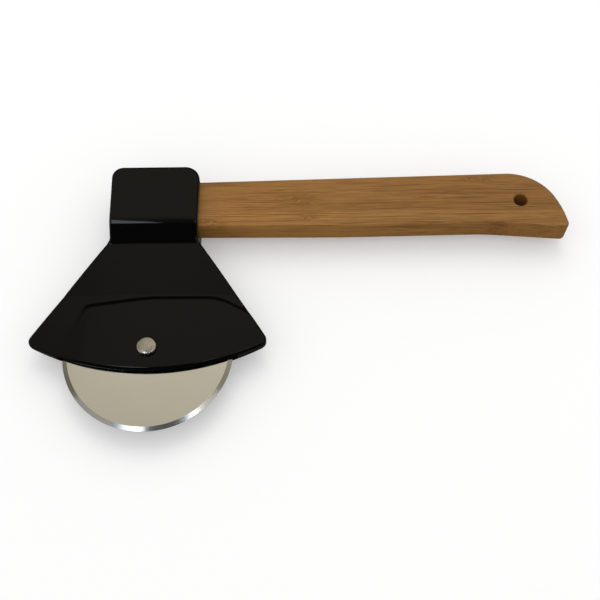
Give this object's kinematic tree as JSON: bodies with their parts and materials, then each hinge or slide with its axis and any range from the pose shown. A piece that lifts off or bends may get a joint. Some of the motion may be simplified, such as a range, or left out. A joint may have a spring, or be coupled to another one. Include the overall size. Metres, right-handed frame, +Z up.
{
  "type": "axe pizza cutter",
  "caption": "Pizza cutter shaped like a small axe: black moulded axe head on a flat bamboo handle, with a steel cutting wheel that turns on a riveted axle.",
  "frame": {"origin": "middle of the flat rear face of the eye, the block that holds the handle; the tool lies on its rear side on the plane z = 0", "axes": "+X along the handle to its butt, +Y from the cutting side to the poll, +Z up, out of the front face, along the wheel's axle"},
  "size_m": [0.2602, 0.1366, 0.0236],
  "materials": {
    "axe_head": "gloss black, moulded",
    "handle": "oiled laminated bamboo, grain along the handle",
    "cutting_wheel": "polished faces, ground bevels",
    "axle_pin": "bright",
    "axle_barrel": "bright",
    "wheel_washer_front": "plain nylon",
    "wheel_washer_rear": "plain nylon"
  },
  "bodies": {
    "tool": {"axe_head": "axe_head", "handle": "handle", "axle_pin": "axle_pin", "axle_barrel": "axle_barrel"},
    "wheel": {"cutting_wheel": "cutting_wheel", "wheel_washer_front": "wheel_washer_front", "wheel_washer_rear": "wheel_washer_rear"}
  },
  "joints": [
    {"name": "wheel_spin", "type": "hinge", "parent": "tool", "child": "wheel", "pos_m": [0, -0.081, 0.0118], "axis": [0, 0, 1], "continuous": true}
  ]
}
